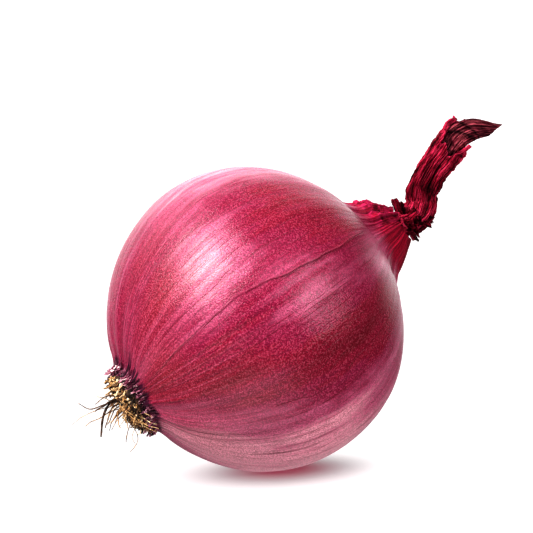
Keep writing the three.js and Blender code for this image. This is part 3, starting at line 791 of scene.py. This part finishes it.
def smooth_path(points, knots, at):
    """A smooth curve through a few points."""
    slopes = np.gradient(points, knots, axis=0)
    k = np.clip(np.searchsorted(knots, at, side="right") - 1, 0, len(knots) - 2)
    step = (knots[k + 1] - knots[k])[:, None]
    t = (at[:, None] - knots[k][:, None]) / step
    a, b = points[k], points[k + 1]
    m, n = slopes[k] * step, slopes[k + 1] * step
    return (
        (2 * t**3 - 3 * t**2 + 1) * a + (t**3 - 2 * t**2 + t) * m
        + (3 * t**2 - 2 * t**3) * b + (t**3 - t**2) * n
    )


def part_random(seed):
    """The same sequence that places the roots in the part."""
    state = seed
    while True:
        state = (state * 1664525 + 1013904223) % 4294967296
        yield state / 4294967296


def make_roots():
    rng = np.random.default_rng(31)
    shape = Shape()
    golden = math.pi * (3 - math.sqrt(5))

    dome = np.linspace(0.15, 1.5, 26)
    rings = np.concatenate([
        [(PLATE_RADIUS - 0.3, DISH_Z - 0.3)],
        [(PLATE_RADIUS, DISH_Z - 0.6), (PLATE_RADIUS, PLATE_FACE_Z + 0.5)],
        np.stack([PLATE_RADIUS * np.cos(dome), PLATE_FACE_Z + 0.3 - 1.3 * np.sin(dome)], -1),
    ])
    theta = turns(120)
    grid = np.stack([
        rings[:, :1] * np.cos(theta), rings[:, :1] * np.sin(theta), np.tile(rings[:, 1:], (1, 120))
    ], -1)
    face = smooth(DISH_Z - 1.2, PLATE_FACE_Z, grid[..., 2])
    grid[..., 2] -= face * (0.35 * waves(grid, 3, 2.2) + 0.2 * waves(grid, 4, 0.9))
    # the plate is toned near black: painted shade in the gaps between the stubs
    shape.tube(laid(grid), tone=0.05 + 0.1 * waves(grid, 6, 1.5))

    def root(start, heading, length, droop, radius, tone, sides=7, steps=14, curl=0.3, taper=0.6):
        along = np.linspace(0, 1, steps)[:, None]
        bend = rng.uniform(-1, 1, 3) * curl
        twist = rng.uniform(-1, 1, 3) * curl * 0.35
        path = (
            start + heading * length * along + DOWN * length * droop * along**2
            + bend * 0.3 * length * np.sin(np.pi * along) * along
            + twist * 0.25 * length * np.sin(TURN * along * rng.uniform(1, 1.8))
        )
        knots = 1 + 0.18 * rng.normal(size=steps)
        radii = radius * (1 - taper * along[:, 0] ** 1.5) * np.clip(knots, 0.6, 1.5)
        tones = np.clip(tone + 0.12 * rng.normal(size=(steps, 1)), 0, 1)
        shape.tube(laid(round_tube(path, radii, sides)), tone=tones)

    # the part's roots
    sequence = part_random(ROOT_SEED)
    draw = lambda: next(sequence)
    for i in range(ROOT_COUNT):
        radius = (PLATE_RADIUS - 1.2) * math.sqrt((i + 0.6) / ROOT_COUNT)
        angle = i * golden
        out = outward(angle)
        start = out * radius + np.array((0, 0, PLATE_FACE_Z + 0.4))
        long = i % 3 == 0 and i < 3 * LONG_ROOTS
        spread = min(0.5 if long else 0.9, (PLATE_RADIUS - 2 * ROOT_RADIUS - radius) / FRINGE_REACH)
        heading = unit(out * spread + np.array((0, 0, -1.0)))
        worn = 1 - ROOT_WEAR * max(0, math.cos(angle))
        length = (LONG_ROOT_LENGTH if long else SHORT_ROOT_LENGTH) * (0.6 + 0.8 * draw()) * worn
        droop = ROOT_DROOP * (0.4 + draw()) if long else 0.2
        for _ in range(3):
            draw()
        if long:
            root(start, heading, length, droop, 0.17, 0.3, curl=0.6, taper=0.6)
        else:
            root(start, heading, length, droop, 0.27, rng.uniform(0.25, 0.7), curl=0.8, taper=0.4)

    # a mat of curled stubs over the plate's face; the near-black ones are painted shade among them
    for i in range(MAT_STUBS):
        radius = (PLATE_RADIUS + 0.1) * math.sqrt((i + 0.5) / MAT_STUBS)
        out = outward(i * golden + 0.4)
        dome = 1.2 * math.sqrt(max(0, 1 - (radius / (PLATE_RADIUS + 0.2)) ** 2))
        start = out * radius + np.array((0, 0, PLATE_FACE_Z + 0.5 - dome))
        heading = unit(out * rng.uniform(-0.4, 1.3) + rng.normal(size=3) * 0.55 + np.array((0, 0, -0.8)))
        root(start, heading, rng.uniform(0.6, 2.1), rng.uniform(0, 0.5), rng.uniform(0.13, 0.34),
             rng.choice((0.0, 0.0, 0.2, 0.5, 0.7, 0.85, 1.0)), sides=6, steps=8, curl=1.6, taper=0.35)

    # the strands that sweep out to the side, and those that lie along the plate's lower edge
    centre = laid(np.array((0, 0, PLATE_FACE_Z - 1.3)))
    for radius, tone, points in STRANDS:
        points = np.array(points, float)
        knots = np.linspace(0, 1, len(points))
        fine = np.linspace(0, 1, 26)
        path = smooth_path(points, knots, fine)
        world_path = centre + path @ np.stack([right, upward, toward])
        wiggle = np.sin(fine[:, None] * rng.uniform(9, 17, 3) + rng.uniform(0, TURN, 3))
        world_path += 0.12 * wiggle * fine[:, None]
        radii = radius * (1 - 0.45 * fine**1.4) * np.clip(1 + 0.14 * rng.normal(size=26), 0.7, 1.4)
        tones = np.clip(tone + 0.15 * fine[:, None] + 0.08 * rng.normal(size=(26, 1)), 0, 1)
        shape.tube(round_tube(world_path, radii, 7), tone=tones)

    # hair-fine fibres
    for _ in range(HAIR_FIBRES):
        out = outward(rng.uniform(0, TURN))
        start = out * rng.uniform(0.5, 6.2) + np.array((0, 0, PLATE_FACE_Z - 0.2))
        heading = unit(out * rng.uniform(0, 0.9) + rng.normal(size=3) * 0.3 + np.array((0, 0, -1.0)))
        root(start, heading, rng.uniform(2.5, 7), rng.uniform(0.1, 0.5), rng.uniform(0.06, 0.11),
             rng.uniform(0.4, 0.8), sides=5, steps=16, curl=0.8, taper=0.5)
    return shape.make("root_mass", ROOTS, ("root_plate",))


# The dry neck

class Route:
    """A centripetal Catmull-Rom curve through points, read by its share of length."""

    def __init__(self, points):
        points = np.asarray(points, float) + PINCH
        points = np.concatenate([[2 * points[0] - points[1]], points, [2 * points[-1] - points[-2]]])
        fine = []
        for p0, p1, p2, p3 in zip(points, points[1:], points[2:], points[3:]):
            d0, d1, d2 = (np.linalg.norm(b - a) ** 0.5 for a, b in ((p0, p1), (p1, p2), (p2, p3)))
            m1 = ((p1 - p0) / d0 - (p2 - p0) / (d0 + d1) + (p2 - p1) / d1) * d1
            m2 = ((p2 - p1) / d1 - (p3 - p1) / (d1 + d2) + (p3 - p2) / d2) * d1
            t = np.linspace(0, 1, 60, endpoint=False)[:, None]
            a = 2 * p1 - 2 * p2 + m1 + m2
            b = -3 * p1 + 3 * p2 - 2 * m1 - m2
            fine.append(a * t**3 + b * t**2 + m1 * t + p1)
        self.points = np.concatenate(fine + [points[-2:-1]])
        self.at = run_length(self.points)
        self.length = self.at[-1]
        self.at /= self.length
        self.tangents = unit(np.gradient(self.points, self.at, axis=0))

    def frame(self, share):
        """Point, tangent, way across the flat and way through, at shares of the length."""
        share = np.asarray(share, float)
        held = np.clip(share, 0, 1)
        pick = lambda table: np.stack([np.interp(held, self.at, table[:, k]) for k in range(3)], -1)
        tangent = unit(pick(self.tangents))
        point = pick(self.points) + tangent * ((share - held) * self.length)[..., None]
        across = unit(np.cross(tangent, NECK_FACING))
        return point, tangent, across, np.cross(tangent, across)


sheath_route = Route(SHEATH_ROUTE)
leaf_route = Route(LEAF_ROUTE)


def sheath_points(share, angle, inset):
    """Points of the pleated sheath, the painted shade of the crease each is in, and its tone, lighter on
    the broad pleats' crests as painted highlight.
    """
    point, _, across, through = sheath_route.frame(share)
    flare = 0.78 + 0.24 * smooth(0.1, 0.45, share) + 0.12 * smooth(0.7, 1, share)
    phase = SHEATH_PLEATS * angle + SHEATH_TWIST * SHEATH_PLEATS * 0.3 * share
    meander = 0.5 * np.sin(6 * share + 2 * angle) + 0.35 * np.sin(15 * share - angle)
    meander = meander + 0.25 * np.sin(31 * share + 3 * angle)
    crumple = np.stack([np.cos(angle) * 3, np.sin(angle) * 3, share * 30], -1)
    patchy = waves(crumple, 15, 4.5)
    broad = SHEATH_PLEAT_DEPTH * np.cos(phase + 0.4 * meander) * (0.7 + 0.3 * np.cos(2 * angle + 4 * share))
    base = smooth(0.75, 0.2, share) * (0.62 - 0.38 * np.cos(angle))
    folds = valley(phase + 0.6 * meander) * (0.5 + 0.5 * np.sin(3 * angle + 7 * share + 1))
    narrow = valley(29 * angle + 5.2 * share + 3.2 * meander) * np.clip(0.8 + 0.4 * patchy, 0, 1)
    thin = valley(47 * angle + 8 * share + 4.4 * meander) * np.clip(0.7 - 0.4 * patchy, 0, 1)
    hair = valley(73 * angle + 11 * share + 6 * meander + patchy)
    pleat = 1 + broad - 0.08 * folds - (0.1 + 0.14 * base) * narrow - 0.07 * thin - 0.025 * hair
    pleat = pleat + (0.035 + 0.03 * base) * waves(crumple, 14, 3.6) + 0.03 * waves(crumple, 16, 1.5)
    width = SHEATH_HALF_WIDTH * flare * pleat - inset
    depth = SHEATH_HALF_THICKNESS * (0.9 + 0.15 * flare) * pleat - inset
    sideways = across * (width * np.cos(angle))[..., None]
    inward = through * (depth * np.sin(angle))[..., None]
    # painted shade in the creases between the pleats
    crease = np.clip(0.4 * folds + 1.3 * narrow**1.5 + 1.2 * thin**1.5 + 0.6 * hair**1.5, 0, 1)
    # the tone is lighter on the broad pleats' crests: a painted highlight
    ridge = 0.36 + 0.1 * broad / SHEATH_PLEAT_DEPTH + 0.06 * patchy + 0.42 * base
    return point + sideways + inward, crease, ridge + 0.14 * smooth(0.6, 0.9, share)


def make_sheath():
    rng = np.random.default_rng(41)
    angle = turns(SHEATH_COLUMNS)
    reach = 0.5 + 0.5 * np.cos(angle - TEAR_SIDE)
    notch = 0.018 * np.cos(7 * angle) + 0.014 * np.cos(13 * angle + 1)
    tears = np.interp(angle, np.linspace(0, TURN, 54), np.append(rng.uniform(-1, 1, 53), 0), period=TURN)
    end = 1 + TEAR_RISE * reach**1.6 + notch + 0.022 * tears - 0.035 * bell(angle - 4.9, 0.8)
    down = np.linspace(0, 1, 150)[:, None]
    outer_share = end[None, :] * down
    back = np.linspace(0, 1, 40)[:, None]
    inner_share = end[None, :] + (1 - MOUTH_DEPTH - end[None, :]) * back
    outer, outer_crease, outer_ridge = sheath_points(
        outer_share, np.broadcast_to(angle, outer_share.shape), 0)
    inner, inner_crease, inner_ridge = sheath_points(
        inner_share, np.broadcast_to(angle, inner_share.shape), 0.35)
    share = np.concatenate([outer_share, inner_share])
    # painted shade deeper inside the mouth, in the creases and in the tone
    inside = smooth(0.0, 0.6, back)
    crease = np.concatenate([outer_crease, np.clip(0.7 * inner_crease + 0.9 * inside, 0, 1)])
    torn_edge = 0.3 * smooth(0.965, 1, down)
    tone = np.concatenate([outer_ridge + torn_edge, inner_ridge + 0.25 - 0.5 * inside])
    all_angle = np.broadcast_to(angle, share.shape)
    grain = np.stack([3.8 * np.cos(all_angle), 3.8 * np.sin(all_angle), share * sheath_route.length], -1)
    shape = Shape()
    shape.tube(np.concatenate([outer, inner]), grain=grain, crease=crease, tone=tone)

    def scrap(at, turn, length, width, curl, tone, sunk=SCRAP_SUNK):
        point, tangent, across, through = sheath_route.frame(at)
        out = across * math.cos(turn) + through * math.sin(turn)
        side = unit(np.cross(out, tangent))
        along = np.linspace(0, 1, 16)
        middle = point + out * (sunk + length * along)[:, None]
        middle = middle + tangent * (curl * length * along**2)[:, None]
        middle = middle + side * (rng.uniform(-0.12, 0.12) * length * along**2)[:, None]
        normal = unit(tangent[None] - out[None] * (2 * curl * along)[:, None])
        half = width / 2 * (0.75 + 0.5 * np.sin(np.pi * along * 0.8)) * (1 + 0.13 * rng.normal(size=16))
        u = np.linspace(-1, 1, 9)
        lift = 0.16 * np.sin(4.2 * u + rng.uniform(0, TURN) + 2 * along[:, None])
        lift = lift + 0.3 * rng.uniform(-1, 1) * u**2 * along[:, None]
        torn = rng.uniform(-0.6, 0.3, (1, 9)) * smooth(0.55, 1, along)[:, None]
        sheet = blade(
            middle, np.tile(side, (16, 1)), normal, half, SCRAP_THICKNESS, lift, out * torn[..., None])
        columns = sheet.shape[1]
        strip = np.stack([
            np.broadcast_to(np.linspace(-1, 1, columns) * width, (16, columns)),
            np.zeros((16, columns)),
            np.broadcast_to(along[:, None] * length, (16, columns)),
        ], -1) + 10 * turn
        # painted shade near where the scrap comes out of the neck
        dark = np.clip(0.35 - 0.5 * along, 0, 1)[:, None]
        tone = tone + 0.2 * rng.uniform(-1, 1)
        shape.tube(sheet, grain=strip, crease=np.broadcast_to(dark, (16, columns)), tone=tone)

    for item in SCRAPS:
        scrap(*item)
    for at, turn, length, width, curl, _ in SCRAPS:
        for _ in range(SMALL_SCRAPS):
            scrap(
                at + rng.uniform(-0.05, 0.07), turn + rng.uniform(-0.5, 0.5),
                length * rng.uniform(0.55, 0.92), width * rng.uniform(0.3, 0.75),
                curl + rng.uniform(-0.35, 0.45), rng.uniform(0.0, 0.65),
            )
    for item in CURLED_BITS:
        scrap(*item)
    return shape.make("neck_folds", NECK, ("neck_sheath",))


def make_leaf():
    rows, cols = 130, 144
    share = np.linspace(0, 1, rows)[:, None]
    angle = turns(cols)[None, :]
    edge = np.cos(angle)
    torn = np.append(np.random.default_rng(47).uniform(-1, 1, 29), 0)
    tip = 1 + 0.012 * np.interp(angle[0], np.linspace(0, TURN, 30), torn, period=TURN)
    t = share * (1 - LEAF_CUT_SLANT * (0.5 + 0.5 * edge)) * tip[None]
    point, _, across, through = leaf_route.frame(t)
    widen = 0.7 + 0.3 * smooth(0.1, 0.35, t) - 0.52 * smooth(0.4, 0.95, t)
    crumpled = smooth(0.55, 0.2, t)
    flat = np.stack([edge * 3 + 0 * t, 0 * t, t * 16], -1)
    wave = waves(flat, 9, 3)
    fine_wave = waves(flat, 12, 1.3)
    ridge = 0.22 * np.cos(4 * np.pi * edge + 3 * t + 0.8 * wave)
    ribs = valley(9 * np.pi * edge + 2.5 * t + 0.9 * wave)
    fine = valley(23 * np.pi * edge + 4 * t + 1.6 * wave)
    height = 0.4 * np.sin(angle) + (ridge - 0.22 * ribs - 0.1 * fine) * widen
    height = height + (0.1 + 0.3 * crumpled) * wave + (0.04 + 0.14 * crumpled) * fine_wave
    grain = np.stack([3.1 * edge + 0 * t, 0.6 * np.sin(angle) + 0 * t, t * leaf_route.length], -1)
    # painted shade in the leaf's ribs and folds
    folds = bell(t - 0.42 - 0.13 * edge, 0.025) + bell(t - 0.53 - 0.1 * edge, 0.02)
    # painted shade where the blade goes into the mouth
    leaf_mouth_shade = smooth(0.16, 0.06, t)
    crease = np.clip(0.9 * ribs**0.9 + 0.8 * fine + 0.75 * folds + leaf_mouth_shade, 0, 1) * np.ones(t.shape)
    height = height - 0.25 * folds
    tone = 0.64 - 0.12 * smooth(0.35, 0.6, t)
    grid = point + across * (LEAF_HALF_WIDTH * widen * edge)[..., None] + through * height[..., None]
    shape = Shape()
    shape.tube(grid, grain=grain, crease=crease, tone=tone)
    return shape.make("dry_leaf_blade", LEAF, ("dry_leaf",))


pieces = [make_skin(), make_crown(), make_roots(), make_sheath(), make_leaf()]


# The studio: a pale floor, soft light, and the camera at the photograph's view

scene = bpy.context.scene


def make_camera():
    data = bpy.data.cameras.new("camera")
    focal = BULB_PIXEL_RADIUS * math.sqrt(VIEW_DISTANCE**2 - BULB_RADIUS**2) / BULB_RADIUS
    data.sensor_width = 36
    data.lens = focal / IMAGE_SIZE * data.sensor_width
    data.shift_x = (IMAGE_SIZE / 2 - BULB_PIXEL[0]) / IMAGE_SIZE
    data.shift_y = (BULB_PIXEL[1] - IMAGE_SIZE / 2) / IMAGE_SIZE
    data.clip_start = 0.01
    data.clip_end = 100
    camera = placed("camera", data)
    camera.location = (BULB_CENTRE + toward * VIEW_DISTANCE) * MM
    camera.rotation_euler = Vector(toward).to_track_quat("Z", "Y").to_euler()
    scene.camera = camera


def soft_light(name, direction, strength, spread, lit, blockers=None):
    """A wide far light that falls only on the collection lit. Where blockers is given, only its
    pieces shade the light."""
    away = unit(direction[0] * right + direction[1] * upward + direction[2] * toward)
    data = bpy.data.lights.new(name, "SUN")
    data.energy = strength
    data.angle = math.radians(spread)
    light = placed(name, data)
    light.location = BULB_CENTRE * MM + away * 0.5
    light.rotation_euler = Vector(away).to_track_quat("Z", "Y").to_euler()
    light.light_linking.receiver_collection = lit
    if blockers is not None:
        light.light_linking.blocker_collection = blockers


# The floor keeps a painted contact shadow in its glow
def make_floor():
    mesh = bpy.data.meshes.new("floor")
    corners = [(x * FLOOR_HALF, y * FLOOR_HALF, 0) for x, y in ((-1, -1), (1, -1), (1, 1), (-1, 1))]
    mesh.from_pydata(corners, [], [(0, 1, 2, 3)])
    floor = placed("floor", mesh)
    floor.location.z = -FLOOR_DROP
    floor.visible_diffuse = False
    floor.visible_glossy = False
    material, tree, shader = new_material(
        "pale_floor_painted_shadow", Base_Color=(FLOOR_TONE,) * 3 + (1,), Roughness=0.9, Specular_IOR_Level=0.1,
        Emission_Strength=1)
    # the glow that keeps the floor white fades to a dim red where the onion touches it: a painted contact
    # shadow with painted red bounce at its core
    where = add(tree, "ShaderNodeTexCoord").outputs["Object"]
    offset = add(tree, "ShaderNodeMapping", {
        "Vector": where, "Scale": (1, PAINTED_SHADOW_SQUASH, 1),
        "Location": (-PAINTED_SHADOW_MIDDLE[0], -PAINTED_SHADOW_MIDDLE[1] * PAINTED_SHADOW_SQUASH, 0),
    })
    away = add(tree, "ShaderNodeVectorMath", {0: offset.outputs[0]}, operation="LENGTH").outputs["Value"]
    white = ramp(away, *PAINTED_SHADOW_REACH, 0.0, FLOOR_GLOW)
    painted_shadow_glow = mixed(ramp(away, *PAINTED_SHADOW_RED_REACH, 1.0, 0.0), white, PAINTED_SHADOW_RED, "ADD")
    feed(shader, "Emission Color", painted_shadow_glow)
    mesh.materials.append(material)
    return floor


def make_backdrop():
    """The white beyond the floor. It is only a backdrop: it lights nothing and shades nothing."""
    mesh = bpy.data.meshes.new("backdrop")
    work = bmesh.new()
    bmesh.ops.create_uvsphere(work, u_segments=48, v_segments=24, radius=BACKDROP_RADIUS)
    work.to_mesh(mesh)
    work.free()
    backdrop = placed("backdrop", mesh)
    backdrop.visible_diffuse = False
    backdrop.visible_glossy = False
    backdrop.visible_shadow = False
    material, _, _ = new_material(
        "backdrop_white", Base_Color=(0, 0, 0, 1), Roughness=1.0, Specular_IOR_Level=0,
        Emission_Color=(1, 1, 1, 1), Emission_Strength=BACKDROP_GLOW)
    mesh.materials.append(material)


def make_surround():
    """What the onion reflects: bright behind it, more to the right, paler below, and dim elsewhere."""
    world = bpy.data.worlds.new("studio")
    world.use_nodes = True
    tree = world.node_tree
    middle = unit(-0.05 * right + 0.4 * upward - 0.92 * toward)
    patch = unit(0.56 * right + 0.24 * upward - 0.8 * toward)
    where = add(tree, "ShaderNodeTexCoord").outputs["Generated"]
    facing = lambda way: add(
        tree, "ShaderNodeVectorMath", {0: where, 1: way}, operation="DOT_PRODUCT").outputs["Value"]
    behind = ramp(facing(middle), 0.7, 0.98, SURROUND_FRONT, SURROUND_BACK)
    below = ramp(facing((0, 0, -1)), 0.0, 0.7, 0, SURROUND_BELOW)
    shoulder = ramp(facing(patch), 0.955, 0.995, 0, SURROUND_SHOULDER)
    background = tree.nodes["Background"]
    background.inputs["Color"].default_value = (1, 1, 1, 1)
    feed(background, "Strength", plus(behind, shoulder, below))
    scene.world = world


make_camera()
make_backdrop()
make_surround()
ground = bpy.data.collections.new("ground")
ground.objects.link(make_floor())
onion = bpy.data.collections.new("onion")
for piece in pieces:
    onion.objects.link(piece)
for light in LIGHTS:
    soft_light(*light, onion, onion)
soft_light(*GROUND_LIGHT, ground)
look = scene.view_settings
look.view_transform = "Standard"
look.gamma = CONTRAST
